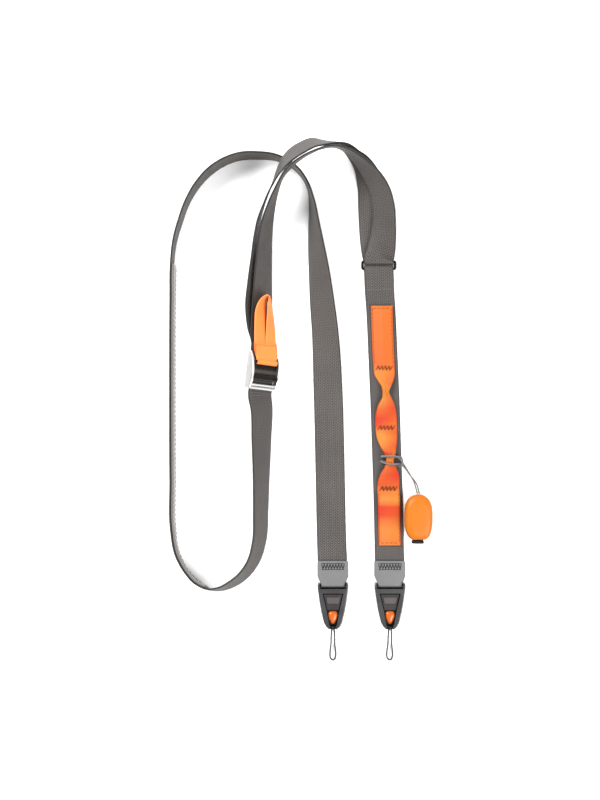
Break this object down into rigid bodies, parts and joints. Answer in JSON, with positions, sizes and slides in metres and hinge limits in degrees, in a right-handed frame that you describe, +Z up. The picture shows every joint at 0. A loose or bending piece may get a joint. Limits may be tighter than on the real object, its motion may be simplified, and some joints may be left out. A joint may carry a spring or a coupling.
{
  "type": "phone strap",
  "caption": "Crossbody phone strap of grey webbing laid out flat, with a cam buckle, slide ring, orange ribbon, two quick-release end connectors and a small pod on a cord",
  "frame": {"origin": "the middle of the laid-out strap's footprint at table height, its cords and pod left out", "axes": "+Y runs up the strap from the connectors to the arch, +X to the side with the slide ring, +Z up from the table"},
  "size_m": [0.1784, 0.3536, 0.0422],
  "materials": {
    "webbing": "woven nylon webbing, fine herringbone, slight sheen",
    "pad": "pale grey second layer on the loop's inner side",
    "ribbon": "orange woven ribbon with stitched edges and bartacks",
    "end_tab": "matte grey tab with one bartack",
    "housing": "grey moulded, satin edges",
    "latch": "grey moulded tongue",
    "anchor": "orange moulded anchor",
    "black_metal": "black coated",
    "black_plastic": "black moulded",
    "steel": "bright plating",
    "cord": "thin braided grey cord",
    "pod": "smooth orange, soft touch"
  },
  "bodies": {
    "strap": {"main_webbing": "webbing", "shoulder_pad": "pad", "front_webbing": "webbing", "slide_ring": "black_metal", "buckle_frame": "steel", "cam_pin": "steel", "daisy_ribbon": "ribbon", "left_end_tab": "end_tab", "right_end_tab": "end_tab", "left_housing": "housing", "right_housing": "housing", "left_latch": "latch", "right_latch": "latch", "left_anchor": "anchor", "right_anchor": "anchor", "left_sleeve": "black_plastic", "right_sleeve": "black_plastic", "left_cord_loop": "cord", "right_cord_loop": "cord", "pod_shell": "pod", "pod_cap": "black_plastic", "pod_cord": "cord"},
    "lever": {"buckle_cam": "black_metal", "pull_tab": "ribbon"}
  },
  "joints": [
    {"name": "cam_lever", "type": "hinge", "parent": "strap", "child": "lever", "pos_m": [-0.01646, 0.00539, 0.01228], "axis": [0.7611, -0.0867, -0.6428], "range_deg": [0, 45], "stiffness_Nm_per_rad": 0.02, "springref_deg": -11.46}
  ]
}
